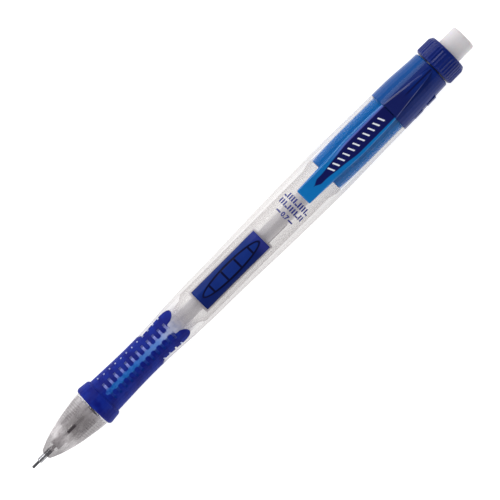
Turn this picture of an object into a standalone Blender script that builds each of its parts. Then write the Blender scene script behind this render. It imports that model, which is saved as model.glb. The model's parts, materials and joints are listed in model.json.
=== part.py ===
"""A side-click mechanical pencil with a twist-out eraser, on its back with the clip and the button up.

Every length is in millimetres along the pencil's own axis, from the lead's point (0) towards the eraser.
The builders turn them into metres. +X runs to the eraser and +Z to the clip.
"""
import math

import bmesh
import bpy

MM = 0.001

# ---------------------------------------------------------------- lengths along the pencil
LEAD_OUT = 2.2              # lead standing out of its steel sleeve
SLEEVE_OUT = 2.2            # steel sleeve standing out of the nose cone
NOSE_LENGTH = 15.7          # nose cone, front face to rear rim
SHOULDER = 0.55             # clear ring of the barrel between the nose cone and the grip
GRIP_RING = 3.8             # closed front ring of the rubber grip
GRIP_LENGTH = 29.8          # whole rubber grip
BUTTON_SETBACK = 6.7        # clear barrel between the grip and the button
BUTTON_LENGTH = 21.3
REAR_LENGTH = 43.5          # clear barrel from the button to the hood
HOOD_LENGTH = 14.9
COLLAR_GAP = 0.3
COLLAR_LENGTH = 5.4
ERASER_OUT = 5.4            # eraser standing out of the collar at rest

# ---------------------------------------------------------------- cross sizes
BODY_R = 6.25               # the barrel at its fattest
LEAD_R = 0.35               # a 0.7 mm lead
LEAD_LENGTH = 60.0
SLEEVE_R = 0.7
LEAD_TUBE_R = 1.9
LEAD_TUBE_WALL = 0.45
BARREL_WALL = 1.13          # over the eraser works
GRIP_DEPTH = 0.65           # rubber thickness along the fingers
BUTTON_HALF_WIDTH = 2.72
CLIP_HALF_WIDTH = 2.2
CLIP_THICKNESS = 1.5
CLIP_LENGTH = 29.3
CLIP_WAIST = 0.6            # how much wider, on each side, the clip is behind its middle
CLIP_RISE = 0.75            # air between the barrel and the clip
COLLAR_DROP = 0.53          # collar radius under the barrel's

# ---------------------------------------------------------------- movements
BUTTON_STROKE = 1.4         # the button's ramps are at 45 degrees, so the feed tube moves as far
RING_SHARE = 0.5            # part of the stroke that the clutch ring follows
ERASER_PITCH = 8.0          # eraser travel per turn of the collar
ERASER_BACK = 5.0           # travel from rest to fully wound in
ERASER_FORTH = 12.8         # travel from rest to fully wound out

# ---------------------------------------------------------------- fits
SLIDE = 0.05                # a piece that slides on or in another
PRESS = 0.03                # a piece that is pressed into another
RUN = 0.1                   # a piece that turns in another
SEAT = 0.05                 # between two end faces that rest on each other

# ---------------------------------------------------------------- roundness
FINE = 32                   # facets round the outside pieces
PLAIN = 24                  # facets round the works
LEAD_SIDES = 12
FINGER_STEPS = 7            # steps along the grip's fingers

# ---------------------------------------------------------------- stations that follow
NOSE_X0 = LEAD_OUT + SLEEVE_OUT
NOSE_X1 = NOSE_X0 + NOSE_LENGTH
GRIP_X0 = NOSE_X1 + SHOULDER + SEAT
RING_X1 = GRIP_X0 + GRIP_RING
GRIP_X1 = GRIP_X0 + GRIP_LENGTH
BUTTON_X0 = GRIP_X1 + BUTTON_SETBACK
BUTTON_X1 = BUTTON_X0 + BUTTON_LENGTH
HOOD_X0 = BUTTON_X1 + REAR_LENGTH
HOOD_X1 = HOOD_X0 + HOOD_LENGTH
COLLAR_X0 = HOOD_X1 + COLLAR_GAP
COLLAR_X1 = COLLAR_X0 + COLLAR_LENGTH
OVERALL_LENGTH = COLLAR_X1 + ERASER_OUT
CLIP_X1 = HOOD_X0 - 0.1
CLIP_X0 = CLIP_X1 - CLIP_LENGTH

# radii of the eraser works, from the barrel's bore inwards
REAR_BORE = BODY_R - BARREL_WALL
SPIRAL_R = REAR_BORE - RUN
GROOVE_FLOOR = SPIRAL_R - 0.42
SPIRAL_BORE = GROOVE_FLOOR - 0.38
TWIST_R = SPIRAL_BORE - 1.2 * RUN
TWIST_BORE = TWIST_R - 0.3
CARRIER_R = TWIST_BORE - 0.08
CARRIER_BORE = CARRIER_R - 0.28
ERASER_R = CARRIER_BORE - PRESS - 0.01

# stations of the eraser works, from the hood forwards
SPIRAL_X0 = HOOD_X0 - 21.5
SPIRAL_X1 = HOOD_X0 + 10.3
SPIRAL_FRONT_WALL = 1.0
CARRIER_LENGTH = 8.0
CARRIER_WALL = 1.2
CARRIER_X0 = SPIRAL_X0 + SPIRAL_FRONT_WALL + ERASER_BACK + 1.5
CARRIER_X1 = CARRIER_X0 + CARRIER_LENGTH
LUG_X = CARRIER_X0 + 1.5
LUG_HALF_LENGTH = 0.35
LUG_HALF_WIDTH = 0.5
TWIST_X0 = SPIRAL_X0 + SPIRAL_FRONT_WALL + 0.5
TWIST_X1 = COLLAR_X1 - 1.6
SHOULDER_X = HOOD_X1 - 2.95
LEAD_TUBE_X1 = SPIRAL_X0 + 1.9

# radii and stations of the clutch
LEAD_TUBE_BORE = LEAD_TUBE_R - LEAD_TUBE_WALL
CHUCK_X0 = NOSE_X0 + 8.1
CHUCK_LENGTH = 18.5
CHUCK_HEAD_R = 1.78
CHUCK_NECK_R = 1.0
CONE_START = 1.7            # from the chuck's front to where its head starts to narrow
CONE_LENGTH = 2.4
CHUCK_GRIP_BORE = LEAD_R + 0.03
RING_X0 = CHUCK_X0 + 2.4
CLUTCH_RING_LENGTH = 2.2
CLUTCH_RING_R = 2.1
SPRING_SEAT_X0 = RING_X0 + 3.3
SPRING_SEAT_X1 = SPRING_SEAT_X0 + 0.6
SPRING_X0 = SPRING_SEAT_X1 + 0.2
COUPLER_X0 = CHUCK_X0 + 14.5
COUPLER_FLANGE = 1.2
COUPLER_LENGTH = 6.0
SPRING_X1 = COUPLER_X0 - 0.2
LEAD_TUBE_X0 = COUPLER_X0 + COUPLER_FLANGE + SEAT
SPRING_R = 1.8
SPRING_WIRE_R = 0.15
SPRING_TURNS = 6
FRONT_BORE = CLUTCH_RING_R + 0.3
BUTTON_BORE = BODY_R - 1.75
CHAMBER_X0 = BUTTON_X0 - 2.3
SPIGOT_R = 2.95
SPIGOT_X0 = CHUCK_X0
REST_HEIGHT = BODY_R


def cleared_scene():
    for item in list(bpy.data.objects):
        bpy.data.objects.remove(item, do_unlink=True)


def material(name, colour, roughness=0.4, metallic=0.0, alpha=1.0):
    made = bpy.data.materials.new(name)
    made.use_nodes = True
    shader = made.node_tree.nodes["Principled BSDF"]
    shader.inputs["Base Color"].default_value = (*colour, 1.0)
    shader.inputs["Roughness"].default_value = roughness
    shader.inputs["Metallic"].default_value = metallic
    shader.inputs["Alpha"].default_value = alpha
    return made


# ---------------------------------------------------------------- shapes
def turned(outline, sides):
    """A closed outline of (x, radius) points turned once round the pencil's axis."""
    mesh = bmesh.new()
    ring = [mesh.verts.new((x, 0.0, r)) for x, r in outline]
    edges = [mesh.edges.new((a, b)) for a, b in zip(ring, ring[1:])]
    if min(outline[0][1], outline[-1][1]) > 0:
        edges.append(mesh.edges.new((ring[-1], ring[0])))
    bmesh.ops.spin(mesh, geom=ring + edges, cent=(0, 0, 0), axis=(1, 0, 0), angle=2 * math.pi,
                   steps=sides, use_merge=True, use_duplicate=False)
    bmesh.ops.remove_doubles(mesh, verts=mesh.verts, dist=1e-4)
    return mesh


def prism(outline, axis, low, high):
    """A flat outline drawn out along Y (points are x, z) or along Z (points are x, y)."""
    mesh = bmesh.new()
    if axis == "Y":
        face = mesh.faces.new([mesh.verts.new((x, low, z)) for x, z in outline])
        reach = (0, high - low, 0)
    else:
        face = mesh.faces.new([mesh.verts.new((x, y, low)) for x, y in outline])
        reach = (0, 0, high - low)
    grown = bmesh.ops.extrude_face_region(mesh, geom=[face])["geom"]
    moved = [v for v in grown if isinstance(v, bmesh.types.BMVert)]
    bmesh.ops.translate(mesh, verts=moved, vec=reach)
    return mesh


def box(x0, x1, y0, y1, z0, z1):
    return prism([(x0, y0), (x1, y0), (x1, y1), (x0, y1)], "Z", z0, z1)


def merged(meshes):
    """Several shapes that stay apart, as one mesh."""
    whole = bmesh.new()
    for mesh in meshes:
        copies = {v: whole.verts.new(v.co) for v in mesh.verts}
        for face in mesh.faces:
            whole.faces.new([copies[v] for v in face.verts])
        mesh.free()
    return whole


def swept(sections):
    """A bar through a list of four-cornered sections, closed at both ends."""
    mesh = bmesh.new()
    rows = [[mesh.verts.new(corner) for corner in section] for section in sections]
    for near, far in zip(rows, rows[1:]):
        for i in range(len(near)):
            j = (i + 1) % len(near)
            mesh.faces.new((near[i], near[j], far[j], far[i]))
    mesh.faces.new(rows[0])
    mesh.faces.new(rows[-1])
    return mesh


def through(stations, x):
    """The radius at x of a smooth line through (x, radius) stations."""
    for i in range(len(stations) - 1):
        if x <= stations[i + 1][0] or i == len(stations) - 2:
            break
    before, start = stations[max(i - 1, 0)], stations[i]
    end, after = stations[i + 1], stations[min(i + 2, len(stations) - 1)]
    span = end[0] - start[0]
    slope_a = (end[1] - before[1]) / (end[0] - before[0])
    slope_b = (after[1] - start[1]) / (after[0] - start[0])
    t = (x - start[0]) / span
    return ((1 + 2 * t) * (1 - t) ** 2 * start[1] + t * (1 - t) ** 2 * span * slope_a
            + t * t * (3 - 2 * t) * end[1] + t * t * (t - 1) * span * slope_b)


def line_through(stations, x0, x1, steps, change=0.0):
    """Points on that smooth line at even steps from x0 to x1."""
    places = [x0 + (x1 - x0) * i / steps for i in range(steps + 1)]
    return [(x, through(stations, x) + change) for x in places]


def arc(cx, cy, radius, start, end, steps):
    """Points on a circle from one angle to another, in degrees."""
    angles = [math.radians(start + (end - start) * i / steps) for i in range(steps + 1)]
    return [(cx + radius * math.cos(a), cy + radius * math.sin(a)) for a in angles]


# ---------------------------------------------------------------- objects
cleared_scene()
axis_empty = bpy.data.objects.new("pencil_axis", None)
bpy.context.scene.collection.objects.link(axis_empty)
axis_empty.location = (-OVERALL_LENGTH / 2 * MM, 0, REST_HEIGHT * MM)


def solid(name, mesh, look=None, origin=(0, 0, 0), smooth_deg=35):
    """Turns a shape in millimetres into an object in metres on the pencil's axis."""
    bmesh.ops.recalc_face_normals(mesh, faces=mesh.faces)
    bmesh.ops.translate(mesh, verts=mesh.verts, vec=[-c for c in origin])
    bmesh.ops.scale(mesh, verts=mesh.verts, vec=(MM, MM, MM))
    data = bpy.data.meshes.new(name)
    mesh.to_mesh(data)
    mesh.free()
    data.shade_smooth()
    data.set_sharp_from_angle(angle=math.radians(smooth_deg))
    made = bpy.data.objects.new(name, data)
    bpy.context.scene.collection.objects.link(made)
    made.parent = axis_empty
    made.location = [c * MM for c in origin]
    if look:
        data.materials.append(look)
    else:
        made.hide_render = True
        made.display_type = "WIRE"
    return made


def boolean(target, other, operation):
    step = target.modifiers.new(f"{operation.lower()}_{other.name}", "BOOLEAN")
    step.operation = operation
    step.solver = "EXACT"
    step.object = other


def cut(target, other):
    boolean(target, other, "DIFFERENCE")


def join(target, other):
    boolean(target, other, "UNION")


def keep_inside(target, other):
    boolean(target, other, "INTERSECT")


CLEAR = material("clear_plastic", (0.82, 0.82, 0.84), 0.08, alpha=0.35)
NOSE_CLEAR = material("smoked_clear_plastic", (0.62, 0.60, 0.61), 0.12, alpha=0.45)
RUBBER = material("blue_rubber", (0.015, 0.035, 0.24), 0.6)
NAVY = material("navy_plastic", (0.008, 0.022, 0.18), 0.3)
HOOD_BLUE = material("royal_blue_plastic", (0.008, 0.035, 0.25), 0.25)
CLIP_BLUE = material("clip_blue_plastic", (0.006, 0.12, 0.40), 0.2)
SLEEVE_BLUE = material("mid_blue_plastic", (0.005, 0.14, 0.42), 0.25, alpha=0.8)
STEEL = material("bright_steel", (0.62, 0.62, 0.63), 0.22, metallic=1.0)
SPRING_STEEL = material("spring_steel", (0.5, 0.5, 0.5), 0.3, metallic=1.0)
PLATED = material("plated_brass", (0.55, 0.54, 0.53), 0.25, metallic=1.0)
GRAPHITE = material("graphite", (0.035, 0.035, 0.037), 0.45)
PALE = material("pale_plastic", (0.72, 0.73, 0.74), 0.3)
DARK_RUBBER = material("soft_grey_rubber", (0.06, 0.06, 0.065), 0.7)
WHITE = material("white_eraser", (0.83, 0.81, 0.82), 0.75)

# ---------------------------------------------------------------- outer line of the barrel
BARREL_LINE = [
    (NOSE_X1 + SEAT, BODY_R - 1.25),
    (RING_X1, BODY_R - 1.37),
    (GRIP_X0 + 0.42 * GRIP_LENGTH, BODY_R - 1.69),
    (GRIP_X0 + 0.62 * GRIP_LENGTH, BODY_R - 1.72),
    (GRIP_X0 + 0.80 * GRIP_LENGTH, BODY_R - 1.50),
    (GRIP_X1, BODY_R - 1.12),
    (BUTTON_X0, BODY_R - 0.87),
    (BUTTON_X0 + 0.4 * BUTTON_LENGTH, BODY_R - 0.78),
    (BUTTON_X1, BODY_R - 0.40),
    (HOOD_X0 - 0.66 * REAR_LENGTH, BODY_R - 0.06),
    (HOOD_X0 - 0.42 * REAR_LENGTH, BODY_R),
    (HOOD_X0 - 0.22 * REAR_LENGTH, BODY_R - 0.22),
    (HOOD_X0 - 0.3, BODY_R - 0.36),
]


WINDOW_HALF_WIDTH = 0.72
WINDOW_SETBACK = 0.9         # from the closed ring to the windows
NOTCH_HALF_WIDTH = 2.35
NOTCH_SETBACK = 19.7        # from the grip's front to the notches between upper and lower fingers
LOBE_LENGTH = 3.3           # rounded tip of a finger
LOBE_STEPS = (0.5, 1.7, 2.5, 3.0, 3.35)
LOBE_X = GRIP_X1 - LOBE_LENGTH
WINDOW_LOBE = (1.5, 1.65, 2.05, 2.5, 3.1)
NOTCH_LOBE = (2.35, 2.6, 2.95, 3.35, 3.9)


def window_outline(ease):
    """Plan of the clear window between two fingers, from its rounded front end to past their tips."""
    half = WINDOW_HALF_WIDTH - ease
    front = RING_X1 + WINDOW_SETBACK
    side = [(front + half, half), (LOBE_X, half)]
    side += [(LOBE_X + step, wide - ease) for step, wide in zip(LOBE_STEPS, WINDOW_LOBE)]
    side += [(GRIP_X1 + 2, WINDOW_LOBE[-1] + 0.3)]
    nose = arc(front + half, 0, half, 90, 270, 6)
    return side[::-1] + nose + [(x, -y) for x, y in side[1:]]


def notch_outline(ease):
    """Side view of the clear notch between the upper and the lower fingers."""
    half = NOTCH_HALF_WIDTH - ease
    front = GRIP_X0 + NOTCH_SETBACK
    upper = [(front + 1.0, half)]
    upper += [(LOBE_X + step, tall - ease) for step, tall in zip(LOBE_STEPS, NOTCH_LOBE)]
    upper += [(GRIP_X1 + 2, NOTCH_LOBE[-1] + 0.3)]
    nose = [(front + 0.3, 0.75 * half), (front, 0.4 * half)]
    nose += [(x, -z) for x, z in nose[::-1]]
    return upper[::-1] + nose + [(x, -z) for x, z in upper]


def fingered(name, outline, ease, look=None):
    """A sleeve of this outline with the windows and notches that leave the grip's four fingers."""
    made = solid(name, turned(outline, FINE), look)
    far = BODY_R + 4
    cut(made, solid(f"{name}_windows", prism(window_outline(ease), "Z", -far, far)))
    cut(made, solid(f"{name}_notches", prism(notch_outline(ease), "Y", -far, far)))
    return made


# ---------------------------------------------------------------- barrel
GRIP_FLOOR = BODY_R - 2.2      # under the grip's closed ring
barrel_outer = [(SPIGOT_X0, SPIGOT_R - 0.3), (SPIGOT_X0 + 0.3, SPIGOT_R), (NOSE_X1 + SEAT, SPIGOT_R)]
barrel_outer += [(NOSE_X1 + SEAT, BODY_R - 1.2), (NOSE_X1 + SHOULDER, BODY_R - 1.16)]
barrel_outer += line_through(BARREL_LINE, RING_X1 + SEAT, GRIP_X1, FINGER_STEPS)
barrel_outer += line_through(BARREL_LINE, GRIP_X1, HOOD_X0 - 0.3, 11)[1:]
SPIGOT_REAR_R = BODY_R - 0.83
barrel_outer += [(HOOD_X0 - 0.1, BODY_R - 0.45), (HOOD_X0 - 0.1, SPIGOT_REAR_R)]
barrel_outer += [(HOOD_X0 + 3.7, SPIGOT_REAR_R), (HOOD_X0 + 4.0, SPIGOT_REAR_R - 0.1)]
RING_STOP_X = RING_X0 - BUTTON_STROKE * RING_SHARE - 0.1
barrel_inner = [
    (HOOD_X0 + 4.0, REAR_BORE), (SPIRAL_X0 - 1.2, REAR_BORE), (SPIRAL_X0 - 3.5, BUTTON_BORE),
    (CHAMBER_X0, BUTTON_BORE), (CHAMBER_X0 - 1.5, BUTTON_BORE - 1.0),
    (GRIP_X0 + 0.85 * GRIP_LENGTH, FRONT_BORE + 0.3),
    (GRIP_X0 + 0.4 * GRIP_LENGTH, FRONT_BORE), (SPRING_SEAT_X1, FRONT_BORE),
    (SPRING_SEAT_X1, CHUCK_NECK_R + 0.45), (SPRING_SEAT_X0, CHUCK_NECK_R + 0.45),
    (SPRING_SEAT_X0, CLUTCH_RING_R + RUN), (RING_STOP_X, CLUTCH_RING_R + RUN),
    (RING_STOP_X, CHUCK_HEAD_R + 0.12), (SPIGOT_X0, CHUCK_HEAD_R + 0.12),
]
barrel = solid("barrel", turned(barrel_outer + barrel_inner, FINE), CLEAR)
RECESS_X0 = NOSE_X1 + SHOULDER
recess_floor = line_through(BARREL_LINE, GRIP_X1 + PRESS, RING_X1 + SEAT, FINGER_STEPS, -GRIP_DEPTH)
cut(barrel, fingered("grip_recess", [
    (RECESS_X0, BODY_R + 1.5), (GRIP_X1 + PRESS, BODY_R + 1.5)] + recess_floor + [
    (RING_X1 + SEAT, GRIP_FLOOR), (RECESS_X0, GRIP_FLOOR)], PRESS))


def button_plan(grow):
    """Plan of the button: a rounded bar with a slight waist and a wider rear end."""
    front, middle, rear = [BUTTON_HALF_WIDTH + grow + more for more in (0.0, -0.06, 0.14)]
    x0, x1 = BUTTON_X0 - grow, BUTTON_X1 + grow
    bend = 0.5
    side = [(x0 + bend, front), (x0 + 0.35 * BUTTON_LENGTH, middle), (x1 - 0.35 * BUTTON_LENGTH, middle),
            (x1 - 1.6, rear - 0.06), (x1 - bend, rear)]
    rear_corner = arc(x1 - bend, rear - bend, bend, 90, 0, 3)[1:]
    front_corner = arc(x0 + bend, front - bend, bend, 180, 90, 3)[:-1]
    top = front_corner + side + rear_corner
    return top + [(x, -y) for x, y in top[::-1]]


WINDOW_EASE = 0.12
cut(barrel, solid("button_window", prism(button_plan(WINDOW_EASE), "Z", 0.5, BODY_R + 4)))

# ---------------------------------------------------------------- grip
grip_outline = [(GRIP_X0, GRIP_FLOOR + PRESS), (GRIP_X0, BODY_R - 0.87), (GRIP_X0 + 0.35, BODY_R - 0.56)]
grip_outline += [(GRIP_X0 + 0.85, BODY_R - 0.48), (GRIP_X0 + 1.6, BODY_R - 0.58)]
grip_outline += [(RING_X1 - 0.4, BODY_R - 0.79)]
grip_outline += [(RING_X1, BODY_R - 1.1)] + line_through(BARREL_LINE, RING_X1, GRIP_X1, FINGER_STEPS)
grip_outline += line_through(BARREL_LINE, GRIP_X1, RING_X1, FINGER_STEPS, PRESS - GRIP_DEPTH)
grip = fingered("grip", grip_outline + [(RING_X1, GRIP_FLOOR + PRESS)], 0.0, RUBBER)
TOOTH_PITCH = 1.86
TOOTH_GAP = 0.7
GAP_COUNT = 12
OUTER_GAPS = 4
FIRST_GAP_SETBACK = 2.05
first_gap = RING_X1 + FIRST_GAP_SETBACK
gap_places = [first_gap + TOOTH_PITCH * i for i in range(GAP_COUNT)]
far = BODY_R + 2
inner_gaps = [box(x - TOOTH_GAP / 2, x + TOOTH_GAP / 2, -2.35, 2.35, -far, far) for x in gap_places]
OUTER_GAP = 0.6
outer_gaps = [box(x - OUTER_GAP / 2, x + OUTER_GAP / 2, -far, far, -2.95, 2.95)
              for x in gap_places[-OUTER_GAPS:]]
cut(grip, solid("tooth_gaps", merged(inner_gaps)))
cut(grip, solid("outer_tooth_gaps", merged(outer_gaps)))

# ---------------------------------------------------------------- nose cone, sleeve, retainer and lead
NOSE_BORE = SPIGOT_R + 0.15
RETAINER_R = 1.32
NOSE_LINE = [
    (NOSE_X0, 1.25), (NOSE_X0 + 0.15 * NOSE_LENGTH, 2.32), (NOSE_X0 + 0.36 * NOSE_LENGTH, 3.35),
    (NOSE_X0 + 0.52 * NOSE_LENGTH, 3.95), (NOSE_X0 + 0.75 * NOSE_LENGTH, 4.56),
    (NOSE_X1 - 0.3, BODY_R - 1.17), (NOSE_X1, BODY_R - 1.20),
]
nose_inner = [
    (NOSE_X1, NOSE_BORE), (CHUCK_X0 - 0.25, NOSE_BORE), (CHUCK_X0 - 0.25, CLUTCH_RING_R),
    (NOSE_X0 + 6.0, CLUTCH_RING_R), (NOSE_X0 + 5.6, RETAINER_R + SLIDE), (NOSE_X0 + 3.2, RETAINER_R + SLIDE),
    (NOSE_X0 + 3.2, LEAD_R + 0.12), (NOSE_X0 + 2.3, LEAD_R + 0.12), (NOSE_X0 + 2.3, SLEEVE_R + PRESS),
    (NOSE_X0, SLEEVE_R + PRESS),
]
nose_outer = [(NOSE_X0, 1.05), (NOSE_X0 + 0.2, 1.33)] + line_through(NOSE_LINE, NOSE_X0 + 0.8, NOSE_X1, 8)
nose_cone = solid("nose_cone", turned(nose_outer + nose_inner, FINE), NOSE_CLEAR)
lead_sleeve = solid("lead_sleeve", turned([
    (LEAD_OUT, LEAD_R + 0.07), (LEAD_OUT, SLEEVE_R - 0.12), (LEAD_OUT + 0.2, SLEEVE_R),
    (NOSE_X0 + 2.2, SLEEVE_R), (NOSE_X0 + 2.2, LEAD_R + 0.07)], PLAIN), STEEL)
lead_retainer = solid("lead_retainer", turned([
    (NOSE_X0 + 3.3, LEAD_R + 0.03), (NOSE_X0 + 3.3, RETAINER_R), (NOSE_X0 + 5.5, RETAINER_R),
    (NOSE_X0 + 5.5, RETAINER_R - 0.4), (NOSE_X0 + 4.6, LEAD_R + 0.35), (NOSE_X0 + 4.2, LEAD_R + 0.03)],
    PLAIN), DARK_RUBBER)


def lead_rod(name, x0, y=0.0, z=0.0):
    tip = 0.12
    shape = turned([(x0, 0), (x0, LEAD_R - tip), (x0 + tip, LEAD_R), (x0 + LEAD_LENGTH, LEAD_R),
                    (x0 + LEAD_LENGTH, 0)], LEAD_SIDES)
    return solid(name, shape, GRAPHITE, origin=(0, -y, -z))


lead = lead_rod("lead", 0.0)
SPARE_X0 = LEAD_TUBE_X0 + 6
SPARE_PLAY = 0.15            # between a spare lead and the wall that it lies on
SPARE_OUT = LEAD_TUBE_BORE - LEAD_R - SPARE_PLAY
for number, angle in ((1, 62), (2, 128)):
    y = SPARE_OUT * math.cos(math.radians(angle))
    z = -SPARE_OUT * math.sin(math.radians(angle))
    spare = lead_rod(f"spare_lead_{number}", SPARE_X0)
    spare.location = (0, y * MM, z * MM)

# ---------------------------------------------------------------- clutch: chuck, ring, spring, coupler
CHUCK_X1 = CHUCK_X0 + CHUCK_LENGTH
CONE_X0 = CHUCK_X0 + CONE_START
CONE_X1 = CONE_X0 + CONE_LENGTH
SHANK_R = CHUCK_NECK_R + 0.05
chuck = solid("chuck", turned([
    (CHUCK_X0, CHUCK_GRIP_BORE), (CHUCK_X0, CHUCK_HEAD_R - 0.3), (CHUCK_X0 + 0.3, CHUCK_HEAD_R),
    (CONE_X0, CHUCK_HEAD_R), (CONE_X1, CHUCK_NECK_R), (COUPLER_X0 - 1.5, CHUCK_NECK_R),
    (COUPLER_X0 - 1.2, SHANK_R), (CHUCK_X1, SHANK_R), (CHUCK_X1, 0.8), (CHUCK_X1 - 1.0, 0.5),
    (CONE_X1, 0.5), (CONE_X1 - 0.5, CHUCK_GRIP_BORE)], PLAIN), PLATED)
SLIT = 0.35
SLIT_LENGTH = 8.5
JAWS = 3
slits = []
for i in range(JAWS):
    slit = box(CHUCK_X0 - 1, CHUCK_X0 + SLIT_LENGTH, -SLIT / 2, SLIT / 2, 0.26, CHUCK_HEAD_R + 1)
    turn = 2 * math.pi * i / JAWS
    for v in slit.verts:
        _, y, z = v.co
        v.co.y = y * math.cos(turn) - z * math.sin(turn)
        v.co.z = y * math.sin(turn) + z * math.cos(turn)
    slits.append(slit)
cut(chuck, solid("chuck_slits", merged(slits)))
cone_slope = (CHUCK_HEAD_R - CHUCK_NECK_R) / CONE_LENGTH
mouth_r = CHUCK_HEAD_R - cone_slope * (RING_X0 - CONE_X0) + 0.08
throat_r = CHUCK_NECK_R + RUN
throat_x = RING_X0 + (mouth_r - throat_r) / cone_slope
chuck_ring = solid("chuck_ring", turned([
    (RING_X0, mouth_r), (RING_X0, CLUTCH_RING_R - 0.2), (RING_X0 + 0.2, CLUTCH_RING_R),
    (RING_X0 + CLUTCH_RING_LENGTH, CLUTCH_RING_R), (RING_X0 + CLUTCH_RING_LENGTH, throat_r),
    (throat_x, throat_r)], PLAIN), PLATED)
COUPLER_STEP_X = COUPLER_X0 + COUPLER_FLANGE
chuck_coupler = solid("chuck_coupler", turned([
    (COUPLER_X0, SHANK_R + PRESS), (COUPLER_X0, CLUTCH_RING_R), (COUPLER_STEP_X, CLUTCH_RING_R),
    (COUPLER_STEP_X, LEAD_TUBE_BORE - PRESS), (COUPLER_X0 + COUPLER_LENGTH, LEAD_TUBE_BORE - PRESS),
    (COUPLER_X0 + COUPLER_LENGTH, LEAD_TUBE_BORE - 0.2), (COUPLER_X0 + COUPLER_LENGTH - 1.2, 0.62),
    (CHUCK_X1 + SEAT, 0.62), (CHUCK_X1 + SEAT, SHANK_R + PRESS)], PLAIN), PALE)

SPRING_STEPS = 12
WIRE_SIDES = 6
coil = bmesh.new()
rows = []
count = SPRING_TURNS * SPRING_STEPS
spring_reach = SPRING_X1 - SPRING_X0 - 2 * SPRING_WIRE_R
for i in range(count + 1):
    turn = 2 * math.pi * i / SPRING_STEPS
    x = SPRING_X0 + SPRING_WIRE_R + spring_reach * i / count
    row = []
    for j in range(WIRE_SIDES):
        side = 2 * math.pi * j / WIRE_SIDES
        r = SPRING_R + SPRING_WIRE_R * math.cos(side)
        place = (x + SPRING_WIRE_R * math.sin(side), r * math.sin(turn), r * math.cos(turn))
        row.append(coil.verts.new(place))
    rows.append(row)
for near, after in zip(rows, rows[1:]):
    for j in range(WIRE_SIDES):
        k = (j + 1) % WIRE_SIDES
        coil.faces.new((near[j], near[k], after[k], after[j]))
coil.faces.new(rows[0])
coil.faces.new(rows[-1])
chuck_spring = solid("chuck_spring", coil, SPRING_STEEL)

# ---------------------------------------------------------------- feed tube, cam and side button
lead_tube = solid("lead_tube", turned([
    (LEAD_TUBE_X0, LEAD_TUBE_BORE), (LEAD_TUBE_X0, LEAD_TUBE_R), (LEAD_TUBE_X1, LEAD_TUBE_R),
    (LEAD_TUBE_X1, LEAD_TUBE_R - 0.15), (LEAD_TUBE_X1 - 0.6, LEAD_TUBE_BORE)], PLAIN), PALE)
CAM_X0 = BUTTON_X0 + 0.8
CAM_X1 = BUTTON_X1 - 1.2
CAM_BORE = LEAD_TUBE_R + PRESS
CAM_R = LEAD_TUBE_R + 0.35
LEG_IN = CAM_R + 0.15
LEG_OUT = LEG_IN + 0.42
RAMP_TOP = 1.0
TOOTH_DROP = 0.2            # keeps the cam's teeth under the button's flange when it is pressed
RAMP_GAP = 0.1              # along X or Z, between a leg's ramp and the cam's
RAMPS = (BUTTON_X0 + 5.1, BUTTON_X0 + 14.6)
LEG_REAR = 0.9
cam_slider = solid("cam_slider", turned([
    (CAM_X0, CAM_BORE), (CAM_X0, CAM_R), (CAM_X1, CAM_R), (CAM_X1, CAM_BORE)], PLAIN), PALE)
for number, x in enumerate(RAMPS):
    crest = RAMP_TOP - TOOTH_DROP
    tooth = [(x - 1.25, -RAMP_TOP), (x - 1.25, crest), (x + TOOTH_DROP, crest), (x + 2 * RAMP_TOP, -RAMP_TOP)]
    for side in (-1, 1):
        span = sorted((side * (CAM_R - 0.28), side * (LEG_OUT - 0.02)))
        label = f"cam_tooth_{number}_{'right' if side < 0 else 'left'}"
        join(cam_slider, solid(label, prism(tooth, "Y", *span)))

BUTTON_TOP = [
    (BUTTON_X0 - 1, BODY_R + 0.32), (BUTTON_X0 + 0.15 * BUTTON_LENGTH, BODY_R + 0.4),
    (BUTTON_X0 + 0.5 * BUTTON_LENGTH, BODY_R + 0.15), (BUTTON_X0 + 0.85 * BUTTON_LENGTH, BODY_R + 0.55),
    (BUTTON_X1 + 1, BODY_R + 0.6),
]
PANEL_FRONT = 1.2            # oval panel on the button's face, from the button's front
PANEL_REAR = 0.7
PANEL_HALF_WIDTH = 1.85
PANEL_GROOVE = 0.48          # width of the panel's grooves
PANEL_DEPTH = 0.22
PANEL_STEPS = 28
CROSS_GROOVES = 4
CROSS_SHARE = 0.225          # of the panel's length, from one cross groove to the next
FLANGE_R = BUTTON_BORE - 0.12
FLANGE_FLOOR = FLANGE_R - 0.7
FLANGE_END = 0.6             # how far the flange runs past each end of the button
FLANGE_HALF_WIDTH = BUTTON_HALF_WIDTH + 0.55
button_mid = (BUTTON_X0 + BUTTON_X1) / 2
button_line = line_through(BUTTON_TOP, BUTTON_X0 - 1, BUTTON_X1 + 1, 10)
side_button = solid("side_button", turned(
    button_line + [(BUTTON_X1 + 1, FLANGE_FLOOR + 0.1), (BUTTON_X0 - 1, FLANGE_FLOOR + 0.1)], FINE),
    NAVY, origin=(button_mid, 0, 0))
keep_inside(side_button, solid("button_cap_plan", prism(button_plan(0), "Z", 0.5, BODY_R + 4)))


def oval(length, half_width):
    """Plan of an oval on the button's face."""
    turns = [2 * math.pi * i / PANEL_STEPS for i in range(PANEL_STEPS)]
    return [(panel_mid + length / 2 * math.cos(a), half_width * math.sin(a)) for a in turns]


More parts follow.
